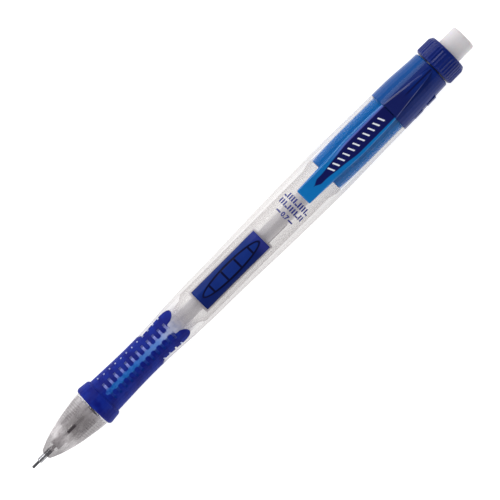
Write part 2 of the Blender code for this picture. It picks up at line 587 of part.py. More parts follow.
panel_length = BUTTON_LENGTH - PANEL_FRONT - PANEL_REAR
panel_mid = BUTTON_X0 + PANEL_FRONT + panel_length / 2
panel_floor = [(x, r - PANEL_DEPTH) for x, r in button_line]
panel = solid("panel_grooves", turned(
    panel_floor + [(BUTTON_X1 + 1, BODY_R + 3), (BUTTON_X0 - 1, BODY_R + 3)], FINE))
keep_inside(panel, solid("panel_edge", prism(oval(panel_length, PANEL_HALF_WIDTH), "Z", 1, BODY_R + 4)))
fields = solid("panel_fields", prism(
    oval(panel_length - 2 * PANEL_GROOVE, PANEL_HALF_WIDTH - PANEL_GROOVE), "Z", 0.9, BODY_R + 5))
groove_pitch = CROSS_SHARE * panel_length
for i in range(CROSS_GROOVES):
    x = panel_mid + (i - (CROSS_GROOVES - 1) / 2) * groove_pitch
    cut(fields, solid(f"cross_groove_{i}", box(
        x - PANEL_GROOVE / 2, x + PANEL_GROOVE / 2, -BODY_R, BODY_R, 0.5, BODY_R + 6)))
cut(panel, fields)
cut(side_button, panel)
flange = solid("button_flange", turned([
    (BUTTON_X0 - FLANGE_END, FLANGE_FLOOR), (BUTTON_X0 - FLANGE_END, FLANGE_R),
    (BUTTON_X1 + FLANGE_END, FLANGE_R), (BUTTON_X1 + FLANGE_END, FLANGE_FLOOR)], FINE))
keep_inside(flange, solid("button_flange_plan", box(
    BUTTON_X0 - 2, BUTTON_X1 + 2, -FLANGE_HALF_WIDTH, FLANGE_HALF_WIDTH, 0.2, BODY_R)))
join(side_button, flange)
LEG_TOP = math.sqrt(FLANGE_FLOOR ** 2 - LEG_OUT ** 2) + 0.35
for number, x in enumerate(RAMPS):
    start = x + RAMP_GAP
    leg = [(start, LEG_TOP), (start, RAMP_TOP), (start + 2 * RAMP_TOP, -RAMP_TOP),
           (start + 2 * RAMP_TOP + LEG_REAR, -RAMP_TOP), (start + 2 * RAMP_TOP + LEG_REAR, LEG_TOP)]
    for side in (-1, 1):
        label = f"button_leg_{number}_{'right' if side < 0 else 'left'}"
        join(side_button, solid(label, prism(leg, "Y", *sorted((side * LEG_IN, side * LEG_OUT)))))

# ---------------------------------------------------------------- eraser works
spiral_outer = [
    (SPIRAL_X0, SPIRAL_R - 0.38), (SPIRAL_X0 + 3.0, SPIRAL_R - 0.18), (SPIRAL_X0 + 7.5, SPIRAL_R),
    (SPIRAL_X0 + 12.5, SPIRAL_R), (SPIRAL_X0 + 18.5, SPIRAL_R - 0.1), (SPIRAL_X1, SPIRAL_R - 0.12),
]
spiral_sleeve = solid("spiral_sleeve", turned(spiral_outer + [
    (SPIRAL_X1, SPIRAL_BORE), (SPIRAL_X0 + SPIRAL_FRONT_WALL, SPIRAL_BORE),
    (SPIRAL_X0 + SPIRAL_FRONT_WALL, LEAD_TUBE_R + RUN), (SPIRAL_X0, LEAD_TUBE_R + RUN)],
    PLAIN), SLEEVE_BLUE)
GROOVE_HALF_WIDTH = 0.7
STARTS = 2
step_deg = 720 / PLAIN          # the groove's own facets, two of the sleeve's
groove_corner_r = GROOVE_FLOOR / math.cos(math.radians(step_deg / 2))
back_steps = math.ceil(360 * ERASER_BACK / ERASER_PITCH / step_deg) + 1
forth_steps = math.ceil(360 * ERASER_FORTH / ERASER_PITCH / step_deg) + 1
for start in range(STARTS):
    sections = []
    for i in range(-back_steps, forth_steps + 1):
        turned_deg = step_deg * (i + 0.25)
        turn = math.radians(turned_deg + 180 * start)
        x = LUG_X + ERASER_PITCH * turned_deg / 360
        corners = ((x - GROOVE_HALF_WIDTH, SPIRAL_BORE - 0.5), (x + GROOVE_HALF_WIDTH, SPIRAL_BORE - 0.5),
                   (x + GROOVE_HALF_WIDTH, groove_corner_r), (x - GROOVE_HALF_WIDTH, groove_corner_r))
        sections.append([(px, r * math.cos(turn), r * math.sin(turn)) for px, r in corners])
    cut(spiral_sleeve, solid(f"spiral_groove_{start}", swept(sections)))

twist_tube = solid("twist_tube", turned([
    (TWIST_X0, TWIST_BORE), (TWIST_X0, TWIST_R), (TWIST_X1, TWIST_R), (TWIST_X1, TWIST_BORE)], PLAIN), PALE)
slot_x0 = LUG_X - ERASER_BACK - LUG_HALF_LENGTH - 0.3
slot_x1 = LUG_X + ERASER_FORTH + LUG_HALF_LENGTH + 0.3
slot_half = LUG_HALF_WIDTH + RUN
cut(twist_tube, solid("lug_slots", box(slot_x0, slot_x1, -BODY_R, BODY_R, -slot_half, slot_half)))
stop_x1 = SHOULDER_X - 0.15
stop_ring = solid("stop_ring", turned([
    (stop_x1 - 1.1, TWIST_R + PRESS), (stop_x1 - 1.1, SPIRAL_R - 0.2), (stop_x1, SPIRAL_R - 0.2),
    (stop_x1, TWIST_R + PRESS)], PLAIN), PALE)
CARRIER_HOLE = LEAD_TUBE_R + 0.1
eraser_carrier = solid("eraser_carrier", turned([
    (CARRIER_X0, CARRIER_HOLE), (CARRIER_X0, CARRIER_R), (CARRIER_X1, CARRIER_R),
    (CARRIER_X1, CARRIER_BORE),
    (CARRIER_X0 + CARRIER_WALL, CARRIER_BORE), (CARRIER_X0 + CARRIER_WALL, CARRIER_HOLE)], PLAIN), PALE)
for side in (-1, 1):
    reach = sorted((side * (CARRIER_BORE + 0.1), side * (GROOVE_FLOOR - 0.12)))
    lug = box(LUG_X - LUG_HALF_LENGTH, LUG_X + LUG_HALF_LENGTH, *reach, -LUG_HALF_WIDTH, LUG_HALF_WIDTH)
    join(eraser_carrier, solid(f"lug_{'right' if side < 0 else 'left'}", lug))
eraser_x0 = CARRIER_X0 + CARRIER_WALL + 0.2
eraser = solid("eraser", turned([
    (eraser_x0, 0), (eraser_x0, ERASER_R - 0.3), (eraser_x0 + 0.3, ERASER_R),
    (OVERALL_LENGTH - 0.5, ERASER_R), (OVERALL_LENGTH - 0.12, ERASER_R - 0.2),
    (OVERALL_LENGTH, ERASER_R - 0.5), (OVERALL_LENGTH, 0)], FINE), WHITE)

# ---------------------------------------------------------------- twist collar with its fine ribs
COLLAR_R = BODY_R - COLLAR_DROP
RIBS = 40
RIB_DEPTH = 0.12
collar_inner = [
    (COLLAR_X1, TWIST_BORE - 0.2), (TWIST_X1 + SEAT, TWIST_BORE - 0.2), (TWIST_X1 + SEAT, TWIST_R + PRESS),
    (COLLAR_X0, TWIST_R + PRESS),
]
collar_outer = [
    (COLLAR_X0, COLLAR_R - 0.55), (COLLAR_X0 + 0.35, COLLAR_R - 0.12), (COLLAR_X0 + 0.6, COLLAR_R),
    (COLLAR_X1 - 1.1, COLLAR_R - 0.05), (COLLAR_X1 - 0.45, COLLAR_R - 0.35),
    (COLLAR_X1 - 0.1, COLLAR_R - 0.55),
    (COLLAR_X1, COLLAR_R - 1.0),
]
ribbed = turned(collar_outer + collar_inner, 2 * RIBS)
for v in ribbed.verts:
    radius = math.hypot(v.co.y, v.co.z)
    slot = round(math.atan2(v.co.y, v.co.z) / (math.pi / RIBS))
    if slot % 2 and radius > COLLAR_R - 0.3:
        v.co.y *= 1 - RIB_DEPTH / radius
        v.co.z *= 1 - RIB_DEPTH / radius
twist_collar = solid("twist_collar", ribbed, NAVY, smooth_deg=25)

# ---------------------------------------------------------------- hood with the clip's root
HOOD_LINE = [
    (HOOD_X0, BODY_R - 0.38), (HOOD_X0 + 2.2, BODY_R - 0.39), (HOOD_X0 + 4.3, BODY_R - 0.43),
    (HOOD_X0 + 7.2, BODY_R - 0.57), (HOOD_X0 + 11.8, BODY_R - 0.91), (HOOD_X1, BODY_R - 1.02),
]
HOOD_LIP = 4.3
hood_outer = line_through(HOOD_LINE, HOOD_X0, HOOD_X1 - 0.25, 6) + [(HOOD_X1, BODY_R - 1.25)]
hood_inner = [
    (HOOD_X1, TWIST_R + 0.15), (SHOULDER_X, TWIST_R + 0.15), (SHOULDER_X, SPIRAL_R),
    (HOOD_X0 + HOOD_LIP, SPIRAL_R), (HOOD_X0 + HOOD_LIP, SPIGOT_REAR_R + SLIDE),
    (HOOD_X0, SPIGOT_REAR_R + SLIDE),
]
hood = solid("hood", turned(hood_outer + hood_inner, FINE), HOOD_BLUE)
CLIP_FLOOR = BODY_R + CLIP_RISE
CLIP_TOP = CLIP_FLOOR + CLIP_THICKNESS
SADDLE_HALF = CLIP_HALF_WIDTH + 0.15
SADDLE_TAPER = 0.75          # share of its width that the root loses by the hood's rear
root_shape = prism([
    (HOOD_X0, BODY_R - 0.72), (HOOD_X0, CLIP_TOP), (HOOD_X0 + 4, CLIP_TOP - 0.15),
    (HOOD_X0 + 8, CLIP_TOP - 0.75), (HOOD_X0 + 12, BODY_R + 0.2), (HOOD_X1 - 0.3, BODY_R - 1.1),
    (HOOD_X1 - 4, BODY_R - 1.4), (HOOD_X0 + 6, BODY_R - 0.85)], "Y", -SADDLE_HALF, SADDLE_HALF)
for v in root_shape.verts:
    v.co.y *= 1 - SADDLE_TAPER * (v.co.x - HOOD_X0) / HOOD_LENGTH
saddle = solid("clip_root", root_shape)
round_edges = saddle.modifiers.new("round_edges", "BEVEL")
round_edges.width = 0.4 * MM
round_edges.segments = 2
round_edges.limit_method = "ANGLE"
round_edges.angle_limit = math.radians(60)
join(hood, saddle)
GRIP_BARS = ((3.3, 6.7, -0.34), (7.7, 11.2, -0.45))
BAR_ROOT = 0.25
for number, (start, end, proud) in enumerate(GRIP_BARS):
    x0, x1 = HOOD_X0 + start, HOOD_X0 + end
    crest = [(x0 + 0.15, BODY_R + proud), (x1 - 0.5, BODY_R + proud - 0.05)]
    root = [(x1, through(HOOD_LINE, x1) - BAR_ROOT), (x0, through(HOOD_LINE, x0) - BAR_ROOT)]
    bar = solid(f"hood_bar_{number}", turned(crest + root, FINE))
    keep_inside(bar, solid(f"hood_bar_plan_{number}", box(x0 - 1, x1 + 1, -BODY_R - 2, 0, -1.9, 1.9)))
    join(hood, bar)

# ---------------------------------------------------------------- clip arm
HINGE_X = CLIP_X1 - 0.25
HINGE_Z = (CLIP_FLOOR + CLIP_TOP) / 2
WAIST_START = 7.5            # from the clip's free end
WAIST_MIDDLE = 17.0
PAD_DEPTH = 0.45             # how far the clip's pad reaches down to the barrel
under = [(CLIP_X0 + along, CLIP_FLOOR) for along in (25, 21, WAIST_MIDDLE, 13, 10, WAIST_START)]
over = [(CLIP_X0 + along, CLIP_TOP) for along in (14, WAIST_MIDDLE, 21, 25)]
arm_side = [(CLIP_X1, CLIP_FLOOR)] + under + [
    (CLIP_X0 + 4.2, CLIP_FLOOR - PAD_DEPTH), (CLIP_X0 + 1.2, CLIP_FLOOR - PAD_DEPTH),
    (CLIP_X0, CLIP_FLOOR + 0.1), (CLIP_X0, CLIP_TOP - 0.55), (CLIP_X0 + 6, CLIP_TOP - 0.2),
    (CLIP_X0 + 10, CLIP_TOP - 0.08)] + over + [(CLIP_X1, CLIP_TOP)]
arm = prism(arm_side, "Y", -CLIP_HALF_WIDTH, CLIP_HALF_WIDTH)
for v in arm.verts:
    along = v.co.x - CLIP_X0
    rise = min(max((along - WAIST_START) / (WAIST_MIDDLE - WAIST_START), 0), 1)
    fall = min(max((along - WAIST_MIDDLE) / (CLIP_LENGTH - WAIST_MIDDLE), 0), 1)
    wider = CLIP_WAIST * (rise * rise * (3 - 2 * rise) - 0.6 * fall * fall)
    v.co.y += math.copysign(wider, v.co.y)
clip_arm = solid("clip_arm", arm, CLIP_BLUE, origin=(HINGE_X, 0, HINGE_Z))
round_arm = clip_arm.modifiers.new("round_edges", "BEVEL")
round_arm.width = 0.3 * MM
round_arm.segments = 2
round_arm.limit_method = "ANGLE"
round_arm.angle_limit = math.radians(60)
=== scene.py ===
# %% [markdown]
# # A side-click mechanical pencil
# The pencil lies on its back on a pale table, with its clip and its side button up.
# The mechanical model is loaded first and never moved. Everything here dresses it: each solid gets a
# finish, and a few small pieces that only matter to the eye are added on top.

# %% The frame
import json
import math

import bmesh
import bpy
from mathutils import Matrix, Vector

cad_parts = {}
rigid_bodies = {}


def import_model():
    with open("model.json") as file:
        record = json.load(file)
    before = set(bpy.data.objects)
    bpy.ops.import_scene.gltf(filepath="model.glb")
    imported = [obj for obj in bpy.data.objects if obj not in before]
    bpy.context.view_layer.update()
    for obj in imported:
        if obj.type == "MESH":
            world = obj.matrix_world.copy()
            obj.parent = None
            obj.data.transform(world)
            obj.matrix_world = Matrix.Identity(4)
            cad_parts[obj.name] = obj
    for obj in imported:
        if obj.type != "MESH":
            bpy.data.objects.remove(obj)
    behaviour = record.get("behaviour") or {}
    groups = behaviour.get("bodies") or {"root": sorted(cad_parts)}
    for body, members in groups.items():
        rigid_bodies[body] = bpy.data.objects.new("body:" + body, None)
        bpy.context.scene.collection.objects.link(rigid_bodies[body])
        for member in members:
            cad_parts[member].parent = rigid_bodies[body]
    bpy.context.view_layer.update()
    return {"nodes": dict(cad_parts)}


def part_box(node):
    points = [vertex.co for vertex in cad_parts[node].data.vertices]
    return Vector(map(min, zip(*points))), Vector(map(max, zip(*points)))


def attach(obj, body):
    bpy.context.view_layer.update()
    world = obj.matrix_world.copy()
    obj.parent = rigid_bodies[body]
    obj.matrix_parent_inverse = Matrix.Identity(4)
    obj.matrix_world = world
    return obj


for startup in list(bpy.data.objects):
    bpy.data.objects.remove(startup, do_unlink=True)
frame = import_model()
nodes = frame["nodes"]

# %% [markdown]
# A pencil is a turned thing, so it is easiest to think in millimetres along its own axis, from the
# point (0) to the end of the eraser. These few numbers turn such a place into the frame's metres.

# %% The pencil's own measures
MM = 0.001
POINT_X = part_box("lead")[0].x
AXIS_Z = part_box("eraser_carrier")[0].z / 2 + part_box("eraser_carrier")[1].z / 2


def station(x_metres):
    """Millimetres from the point of the pencil."""
    return (x_metres - POINT_X) / MM


NOSE = [station(c.x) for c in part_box("nose_cone")]
GRIP = [station(c.x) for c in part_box("grip")]
BUTTON = [station(c.x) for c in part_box("side_button")]
CLIP = [station(c.x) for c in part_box("clip_arm")]
HOOD = [station(c.x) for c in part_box("hood")]
COLLAR = [station(c.x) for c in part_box("twist_collar")]
ERASER = [station(c.x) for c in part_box("eraser")]
BARREL = [station(c.x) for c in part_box("barrel")]
SLEEVE = [station(c.x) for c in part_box("spiral_sleeve")]
print("stations:", [round(v, 2) for v in NOSE + GRIP + BUTTON + CLIP + HOOD + COLLAR + ERASER])

# %% [markdown]
# Shader maths reads best as ordinary arithmetic. `Socket` wraps one output of a node, and each sum or
# product adds the Math node that does it. `node` makes any other node: settings first, then inputs.

# %% Shader arithmetic


class Socket:
    """One output of a shader node."""

    def __init__(self, tree, output):
        self.tree = tree
        self.output = output

    @staticmethod
    def node(tree, kind, settings=None, inputs=None, output=0):
        made = tree.nodes.new(kind)
        for key, value in (settings or {}).items():
            if key == "stops":
                ramp = made.color_ramp
                while len(ramp.elements) < len(value):
                    ramp.elements.new(1.0)
                for element, (place, colour) in zip(ramp.elements, value):
                    element.position = place
                    element.color = (*colour, 1.0)
            else:
                setattr(made, key, value)
        for key, value in (inputs or {}).items():
            if isinstance(value, Socket):
                tree.links.new(value.output, made.inputs[key])
            else:
                made.inputs[key].default_value = value
        return Socket(tree, made.outputs[output])

    def math(self, operation, first, second=0.0, clamp=False):
        settings = {"operation": operation, "use_clamp": clamp}
        return Socket.node(self.tree, "ShaderNodeMath", settings, {0: first, 1: second})

    def __add__(self, other):
        return self.math("ADD", self, other)

    def __radd__(self, other):
        return self.math("ADD", other, self)

    def __sub__(self, other):
        return self.math("SUBTRACT", self, other)

    def __rsub__(self, other):
        return self.math("SUBTRACT", other, self)

    def __mul__(self, other):
        return self.math("MULTIPLY", self, other)

    def __rmul__(self, other):
        return self.math("MULTIPLY", other, self)

    def __truediv__(self, other):
        return self.math("DIVIDE", self, other)

    def __pow__(self, other):
        return self.math("POWER", self, other)

    def clamped(self):
        return self.math("ADD", self, clamp=True)

    def size(self):
        return self.math("ABSOLUTE", self)

    def fraction(self):
        """What is left above the whole number, so it starts again at each whole step."""
        return self.math("FRACT", self)

    def most(self, other):
        return self.math("MAXIMUM", self, other)

    def rise(self, low, high):
        """0 before low, 1 after high, smooth between."""
        limits = {"Value": self, "From Min": low, "From Max": high}
        return Socket.node(self.tree, "ShaderNodeMapRange", {"interpolation_type": "SMOOTHSTEP"}, limits)


class Finish:
    """A material under way: its node tree, its Principled shader and the pencil's own coordinates."""

    RIM_BLEND = 0.4

    def __init__(self, name, roughness=0.4, metallic=0.0, **uniform):
        self.material = bpy.data.materials.new(name)
        self.material.use_nodes = True
        self.tree = self.material.node_tree
        self.shader = self.tree.nodes["Principled BSDF"]
        self.shader.inputs["Roughness"].default_value = roughness
        self.shader.inputs["Metallic"].default_value = metallic
        for key, value in uniform.items():
            self.shader.inputs[key.replace("_", " ")].default_value = value
        self.place = self.node("ShaderNodeMapping", None, {
            "Vector": self.node("ShaderNodeTexCoord", output="Object"),
            "Location": (-POINT_X / MM, 0.0, -AXIS_Z / MM),
            "Scale": (1 / MM, 1 / MM, 1 / MM)})
        self.x, self.y, self.z = [
            self.node("ShaderNodeSeparateXYZ", None, {0: self.place}, output=i) for i in range(3)]

    def node(self, kind, settings=None, inputs=None, output=0):
        return Socket.node(self.tree, kind, settings, inputs, output)

    def noise(self, scale, detail=3.0, stretch=(1.0, 1.0, 1.0)):
        """Soft random cloud in 0..1, with about scale blobs in a millimetre."""
        spread = self.node("ShaderNodeMapping", None, {"Vector": self.place, "Scale": stretch})
        inputs = {"Vector": spread, "Scale": scale, "Detail": detail}
        return self.node("ShaderNodeTexNoise", None, inputs)

    def mix(self, share, first, second):
        """The first colour where share is 0 and the second where it is 1."""
        colours = {"Factor": share, 6: self.colour(first), 7: self.colour(second)}
        return self.node("ShaderNodeMix", {"data_type": "RGBA"}, colours, output=2)

    @staticmethod
    def colour(value):
        return value if isinstance(value, Socket) else (*value, 1.0)

    def feed(self, name, value):
        self.tree.links.new(value.output, self.shader.inputs[name])

    def bump(self, height, distance, strength=1.0):
        """height in 0..1 pushes the surface out by distance millimetres."""
        self.feed("Normal", self.node("ShaderNodeBump", None, {
            "Height": height, "Distance": distance * MM, "Strength": strength}))

    def rim(self):
        """0 where the surface faces the eye, 1 at its rim."""
        return self.node("ShaderNodeLayerWeight", None, {"Blend": self.RIM_BLEND}, output="Facing")

    def on(self, *names):
        for name in names:
            data = nodes[name].data
            data.materials.clear()
            data.materials.append(self.material)
        print(self.material.name, "on", ", ".join(names))


def linear(red, green, blue):
    """A colour mixed on a 0..255 scale, as the shader's linear numbers."""
    scaled = [c / 255 for c in (red, green, blue)]
    return tuple(c / 12.92 if c <= 0.04045 else ((c + 0.055) / 1.055) ** 2.4 for c in scaled)


# %% [markdown]
# ## The table, the light and the camera
# The floor glows a little, as a light table does, so that the clear plastic is lit from below too. It
# is a wide disc with a low wall at its edge, so that a low view meets no horizon.

# %% Floor
FLOOR_RADIUS = 3.0
FLOOR_SEGMENTS = 96
WALL_HEIGHT = 0.6
TABLE_GREY = (0.5, 0.5, 0.5, 1.0)
TABLE_GLOW = 0.86
WHITE = (1.0, 1.0, 1.0, 1.0)
floor_mesh = bmesh.new()
bmesh.ops.create_circle(floor_mesh, cap_ends=True, segments=FLOOR_SEGMENTS, radius=FLOOR_RADIUS)
edge = [e for e in floor_mesh.edges if e.is_boundary]
raised = bmesh.ops.extrude_edge_only(floor_mesh, edges=edge)["geom"]
bmesh.ops.translate(floor_mesh, verts=[v for v in raised if isinstance(v, bmesh.types.BMVert)],
                    vec=(0, 0, WALL_HEIGHT))
bmesh.ops.recalc_face_normals(floor_mesh, faces=floor_mesh.faces)
floor_data = bpy.data.meshes.new("floor")
floor_mesh.to_mesh(floor_data)
floor_mesh.free()
floor = bpy.data.objects.new("floor", floor_data)
bpy.context.scene.collection.objects.link(floor)
table = Finish("light_table", roughness=0.9, Emission_Strength=TABLE_GLOW)
table.shader.inputs["Base Color"].default_value = TABLE_GREY
table.shader.inputs["Emission Color"].default_value = WHITE
floor_data.materials.append(table.material)
print("floor:", 2 * FLOOR_RADIUS, "m across, with a low wall far off")

# %% [markdown]
# One long soft box stands on the pencil's left and a weaker one on its right, and a small one lights
# the point. Long lamps give a round body one calm highlight along its whole length.

# %% Soft light
SKY_STRENGTH = 0.28
world = bpy.data.worlds.new("studio")
bpy.context.scene.world = world
world.use_nodes = True
sky = world.node_tree.nodes["Background"]
sky.inputs["Color"].default_value = WHITE
sky.inputs["Strength"].default_value = SKY_STRENGTH


def soft_box(name, place, width, tone_and_bore_highlight, watts):
    """A rectangular lamp that faces the middle of the pencil."""
    lamp = bpy.data.lights.new(name, "AREA")
    lamp.shape = "RECTANGLE"
    lamp.size = width
    lamp.size_y = tone_and_bore_highlight
    lamp.energy = watts
    made = bpy.data.objects.new(name, lamp)
    bpy.context.scene.collection.objects.link(made)
    made.location = place
    made.rotation_euler = (-Vector(place)).to_track_quat("-Z", "Y").to_euler()
    made.visible_camera = False
    print(name, watts, "W")


soft_box("left_box", (0.0, 0.55, 0.50), 1.2, 0.20, 4.5)
soft_box("right_box", (0.0, -0.70, 0.30), 1.2, 0.20, 1.8)
soft_box("point_box", (-0.75, 0.1, 0.45), 0.3, 0.3, 1.2)

# %% [markdown]
# The camera hangs straight above on a long lens, which keeps the pencil's two ends at one scale. It is
# turned so that the pencil runs from the lower left to the upper right.

# %% Camera
LENS = 300.0
SENSOR = 36.0
VIEW_WIDTH = 0.12135
SLIDE_ALONG = 0.00062
SLIDE_ACROSS = 0.0001
CAMERA_TURN = math.radians(-45)
NEAR_LIMIT = 0.01
FAR_LIMIT = 20.0
camera_data = bpy.data.cameras.new("camera")
camera_data.lens = LENS
camera_data.sensor_width = SENSOR
camera_data.clip_start = NEAR_LIMIT
camera_data.clip_end = FAR_LIMIT
camera = bpy.data.objects.new("camera", camera_data)
bpy.context.scene.collection.objects.link(camera)
camera_height = VIEW_WIDTH / 2 / (SENSOR / 2 / LENS)
camera.location = (SLIDE_ALONG, SLIDE_ACROSS, AXIS_Z + camera_height)
camera.rotation_euler = (0.0, 0.0, CAMERA_TURN)
bpy.context.scene.camera = camera
bpy.context.scene.view_settings.view_transform = "Standard"
print("camera height in m:", round(camera_height, 3))

# %% [markdown]
# ## Clear plastic
# The barrel is moulded in clear polystyrene. Where it is empty it looks pale grey, because light is
# lost at each of its surfaces, and it darkens at the rim. Near the grip it has a painted blue glow:
# painted light for the rubber's colour carried inside the wall, put into its colour and given off as
# emission. Glass shading would be truer but noisy in a thin wall, so a see-through veil with a rim is
# used, and the coordinates along the pencil set its colour.
#
# First come the two colours: the pale veil, and the painted glow. The grip's fingers have a gap every
# 1.86 mm, so the glow is navy beside each tooth and painted lilac light in each gap, paler on the left.

# %% Barrel: its colours
clear = Finish("clear_plastic", roughness=0.1, IOR=1.5, Specular_IOR_Level=0.3, Emission_Strength=0.3)
flow = clear.noise(0.8, 4.0, (0.05, 1.0, 1.0)).rise(0.35, 0.65)
veil = clear.mix(flow, linear(160, 152, 150), linear(198, 190, 188))
painted_glow = clear.node("ShaderNodeValToRGB", {"stops": (
    (0.0, linear(0, 24, 110)), (0.16, linear(0, 44, 124)), (0.24, linear(0, 78, 146)),
    (0.5, linear(26, 86, 158)),
    (0.75, linear(88, 120, 180)), (1.0, linear(190, 192, 210)))},
    {"Fac": (clear.x - GRIP[0]) / (GRIP[1] - GRIP[0])})
# Painted light: the lilac in the gaps is paler on the left, where the main lamp stands.
lilac = clear.mix(clear.y.rise(0.0, 0.2), linear(24, 58, 160), linear(132, 142, 214))
painted_glow = clear.mix(clear.noise(0.9, 3.0).rise(0.45, 0.62) * 0.4, painted_glow, linear(60, 104, 182))
TOOTH_PITCH = 1.86
GAP_COUNT = 12
FIRST_GAP = GRIP[0] + 5.85
tooth = (clear.x - FIRST_GAP) / TOOTH_PITCH + 0.5
tooth = tooth.fraction()
beside_gap = (tooth - 0.5).size().rise(0.16, 0.34)
LAST_GAP = FIRST_GAP + (GAP_COUNT - 1) * TOOTH_PITCH
toothed = 1 - clear.x.rise(LAST_GAP + 0.5, LAST_GAP + 0.7)
bank = clear.y.size().rise(0.3, 0.62) * toothed
painted_glow = clear.mix(bank * beside_gap, painted_glow, linear(4, 26, 124))
painted_glow = clear.mix(clear.y.size().rise(0.45, 1.2) * (1 - beside_gap) * toothed, painted_glow, lilac)

# %% [markdown]
# Then come the masks. The painted glow starts at the grip's front and fades out behind it, and at the
# sides it ends sooner, where the rubber does. Over the sleeve the wall takes the sleeve's blue. One fine
# dark line behind the button is painted shade: the shaded edge of a tube inside, seen through the wall.

# %% Barrel: where each colour goes
FADE_START = GRIP[1] - 7.0
FADE_END = GRIP[1] + 4.0
SIDE_NOTCH = GRIP[0] + 19.0
SLEEVE_EDGE = (4.8, 5.1)
under_grip = 1 - clear.x.rise(FADE_START, FADE_END)
under_grip = under_grip * clear.x.rise(GRIP[0] - 0.05, GRIP[0] + 0.05)
at_the_side = clear.y.size().rise(3.4, 3.9)
under_grip = under_grip * (1 - clear.x.rise(SIDE_NOTCH, SIDE_NOTCH + 2.0) * at_the_side)
sleeve_along = clear.x.rise(SLEEVE[0] - 0.1, SLEEVE[0] + 0.1)
over_sleeve = sleeve_along * (1 - clear.y.size().rise(*SLEEVE_EDGE))
tinted = clear.mix(over_sleeve, veil, linear(20, 100, 170))
shown = clear.mix(under_grip, tinted, painted_glow)
# A dark line painted in as the shade of a tube's edge seen through the wall.
TUBE_EDGE_Y = -1.9
TUBE_EDGE_END = 85.0
tube_edge_shade = 1 - (clear.y - TUBE_EDGE_Y).size().rise(0.06, 0.16)
tube_edge_shade = tube_edge_shade * clear.x.rise(BUTTON[1] - 0.5, BUTTON[1])
tube_edge_shade = tube_edge_shade * (1 - clear.x.rise(TUBE_EDGE_END, TUBE_EDGE_END + 0.6))
tube_edge_shade = tube_edge_shade * clear.z.rise(5.0, 5.1)
shown = clear.mix(tube_edge_shade * 0.8, shown, linear(96, 92, 95))
clear.feed("Base Color", shown)
# The painted glow is also given off as emission under the grip, as painted light.
clear.feed("Emission Color", clear.mix(under_grip, (0.0, 0.0, 0.0), painted_glow))

# %% [markdown]
# Last comes how much of the wall shows. It is a faint veil that thickens at the rim. Where the sleeve
# lies right behind it the wall almost vanishes, and the spigot inside the nose cone does too.

# %% Barrel: how much of it shows
VEIL = 0.16
VEIL_AT_RIM = 0.5
VEIL_OVER_SLEEVE = 0.06
SLEEVE_LEAVES_RIM = (0.33, 0.38)
GLOW_COVER = 0.85
SPIGOT_COVER = 0.08
rim = clear.rim()
empty = rim * rim * VEIL_AT_RIM + VEIL + flow * 0.05
filled = rim * rim * VEIL_OVER_SLEEVE
sleeve_behind = sleeve_along * (1 - rim.rise(*SLEEVE_LEAVES_RIM))
see = empty * (1 - sleeve_behind) + filled * sleeve_behind
see = see + tube_edge_shade * 0.5
see = see * (clear.x.rise(NOSE[1] - 0.05, NOSE[1]) * (1 - SPIGOT_COVER) + SPIGOT_COVER)
clear.feed("Alpha", (see + under_grip * GLOW_COVER).clamped())
clear.bump(clear.noise(1.6, 2.0, (0.05, 1.0, 1.0)), 0.006, 0.4)
clear.on("barrel")

# %% [markdown]
# The nose cone is a separate moulding in slightly smoked plastic. It shows the threaded spigot of the
# barrel at its rear, the chuck's slit in the middle, painted dark as shade, and a solid tip round the
# steel sleeve. A colour ramp along the pencil gives its thick and thin parts and a painted highlight,
# a bright band where the bore inside catches the light, and the slit and threads go over it.

# %% Nose cone
smoked = Finish("smoked_clear_plastic", roughness=0.14, IOR=1.5, Specular_IOR_Level=0.3)
# The bright band in the middle of this ramp is a painted highlight of the bore inside.
tone_and_bore_highlight = smoked.node("ShaderNodeValToRGB", {"stops": (
    (0.0, linear(146, 140, 142)), (0.20, linear(150, 144, 146)), (0.33, linear(212, 206, 208)),
    (0.46, linear(204, 198, 200)), (0.56, linear(168, 162, 164)), (0.85, linear(176, 170, 172)),
    (1.0, linear(196, 190, 193)))}, {"Fac": (smoked.x - NOSE[0]) / (NOSE[1] - NOSE[0])})
cloud = smoked.noise(0.8, 4.0, (0.5, 1.0, 1.0)).rise(0.4, 0.62)
inner = smoked.mix(cloud * 0.5, tone_and_bore_highlight, linear(130, 124, 127))
near_axis = 1 - smoked.y.size().rise(0.55, 0.8)
STEEL_END = NOSE[0] + 1.9
over_steel = near_axis * (1 - smoked.x.rise(STEEL_END - 0.2, STEEL_END))
inner = smoked.mix(over_steel, inner, linear(96, 94, 98))
SLIT_START = 12.0
SLIT_PALER = 14.6
SLIT_END = 17.6
# The chuck's slit is painted dark, as painted shade.
slit = (1 - smoked.y.size().rise(0.25, 0.5)) * smoked.x.rise(SLIT_START, SLIT_START + 0.4)
slit = slit * (1 - smoked.x.rise(SLIT_PALER, SLIT_PALER + 0.6) * 0.6)
slit = slit * (1 - smoked.x.rise(SLIT_END, SLIT_END + 0.8))
inner = smoked.mix(slit, inner, linear(70, 64, 68))
TURNS_PER_MM = 1.5
THREADS_SEEN = (13.5, 18.8)
turns = (smoked.x * TURNS_PER_MM + smoked.y * 0.1).fraction()
threads = (turns - 0.5).size().rise(0.1, 0.3)
threads = threads * smoked.x.rise(THREADS_SEEN[0], THREADS_SEEN[0] + 1.0)
threads = threads * (1 - smoked.x.rise(THREADS_SEEN[1], THREADS_SEEN[1] + 0.6))
threads = threads * smoked.y.size().rise(1.4, 2.6)
inner = smoked.mix(threads * 0.45, inner, linear(112, 106, 109))
smoked.feed("Base Color", inner)
smoked_rim = smoked.rim()
smoked.feed("Alpha", (smoked_rim * 0.6 + slit * 0.3 + 0.46).clamped())
smoked.bump(smoked.noise(2.0, 2.0), 0.01, 0.4)
smoked.on("nose_cone")

